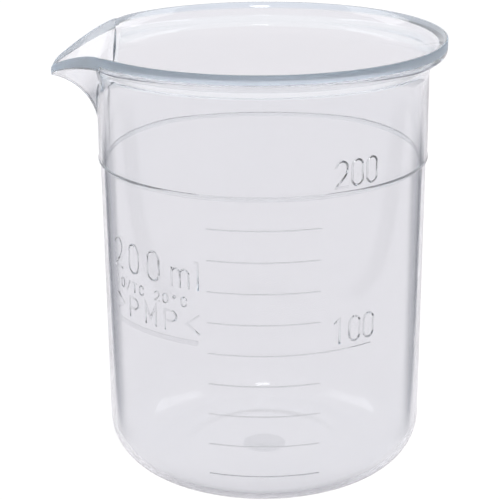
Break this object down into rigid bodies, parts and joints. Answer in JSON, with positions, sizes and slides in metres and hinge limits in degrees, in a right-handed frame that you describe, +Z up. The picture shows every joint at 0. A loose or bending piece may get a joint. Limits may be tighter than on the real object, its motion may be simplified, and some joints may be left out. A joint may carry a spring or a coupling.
{
  "type": "laboratory beaker",
  "caption": "Clear plastic low-form beaker with a flared rim, a pouring spout, raised graduation lines and a round-cornered base.",
  "frame": {"origin": "centre of the base, on the surface that the beaker stands on", "axes": "+Z up along the beaker's axis, -X towards the tip of the spout, -Y towards the scale"},
  "size_m": [0.0792, 0.0736, 0.0896],
  "materials": {
    "clear_plastic": "clear, glossy, moulded",
    "raised_marks": "clear, glossy, moulded in relief"
  },
  "bodies": {
    "root": {"beaker_body": "clear_plastic", "calibration_mark": "raised_marks", "capacity_mark": "raised_marks", "capacity_ring": "raised_marks", "gate_mark": "raised_marks", "graduation_lines": "raised_marks", "numbered_graduation": "raised_marks", "numeral_100": "raised_marks", "numeral_200": "raised_marks", "resin_mark": "raised_marks", "underline_bar": "raised_marks"}
  },
  "joints": []
}
